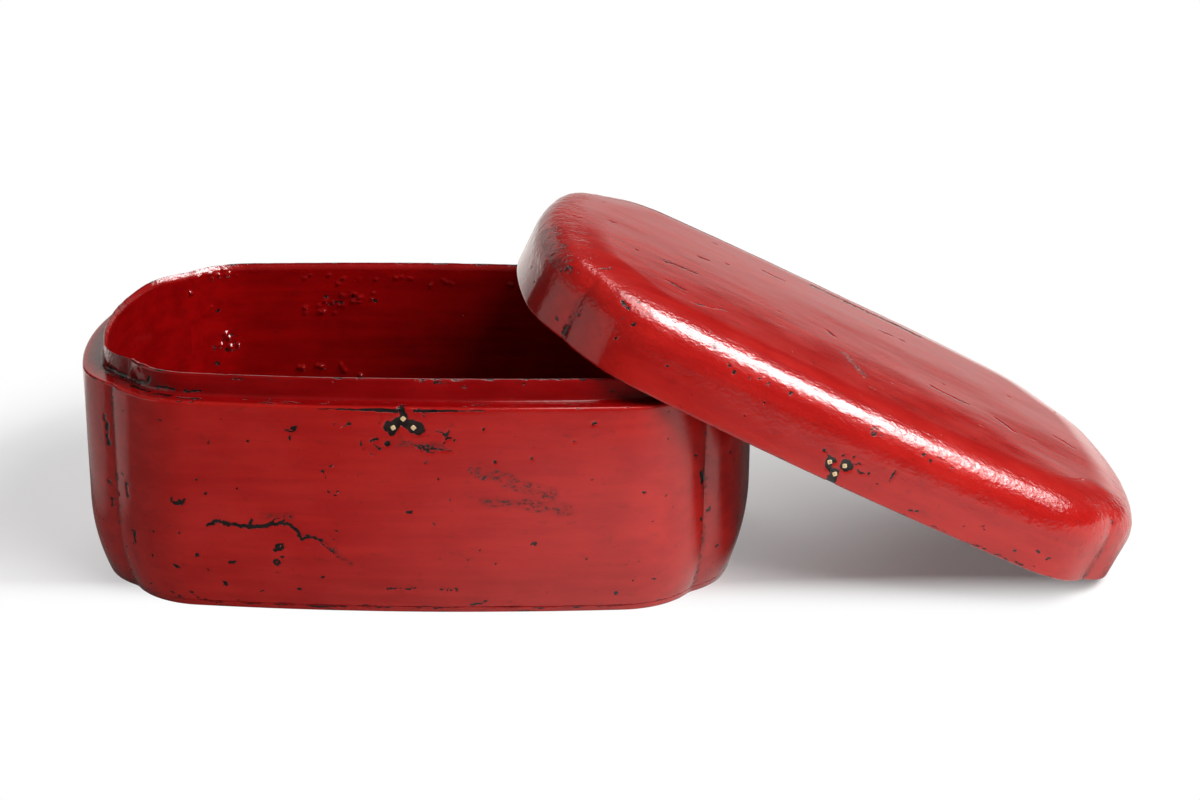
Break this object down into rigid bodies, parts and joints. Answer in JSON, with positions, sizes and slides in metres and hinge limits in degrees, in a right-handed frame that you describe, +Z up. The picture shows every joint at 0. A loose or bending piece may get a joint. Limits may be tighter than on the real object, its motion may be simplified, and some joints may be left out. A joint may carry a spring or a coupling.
{
  "type": "lacquer box",
  "caption": "Oblong red lacquered wooden box with bowed walls, grooved round corners and a loose cushion-shaped lid that leans on its end; stores small things.",
  "frame": {"origin": "middle of the box's flat underside, on the ground", "axes": "+X along the box's length towards the end where the lid leans, -Y to the front with the plugged clasp holes, +Z up"},
  "size_m": [0.4736, 0.2, 0.153],
  "materials": {
    "red_lacquer": "worn glossy red lacquer over a black ground on thin wooden boards",
    "pale_wood": "bare pale bamboo or softwood pegs, cut flush"
  },
  "bodies": {
    "box": {"base_board": "red_lacquer", "front_wall": "red_lacquer", "rear_wall": "red_lacquer", "left_wall": "red_lacquer", "right_wall": "red_lacquer", "front_flange": "red_lacquer", "rear_flange": "red_lacquer", "left_flange": "red_lacquer", "right_flange": "red_lacquer", "base_pegs": "pale_wood", "clasp_plugs": "pale_wood"},
    "lid": {"lid_top_board": "red_lacquer", "lid_front_skirt": "red_lacquer", "lid_rear_skirt": "red_lacquer", "lid_left_skirt": "red_lacquer", "lid_right_skirt": "red_lacquer", "lid_pegs": "pale_wood", "lid_clasp_plugs": "pale_wood"}
  },
  "joints": [
    {"name": "lid_lift", "type": "slide", "parent": "box", "child": "lid", "axis": [0, 0, 1], "range_m": [0, 0.15]}
  ]
}
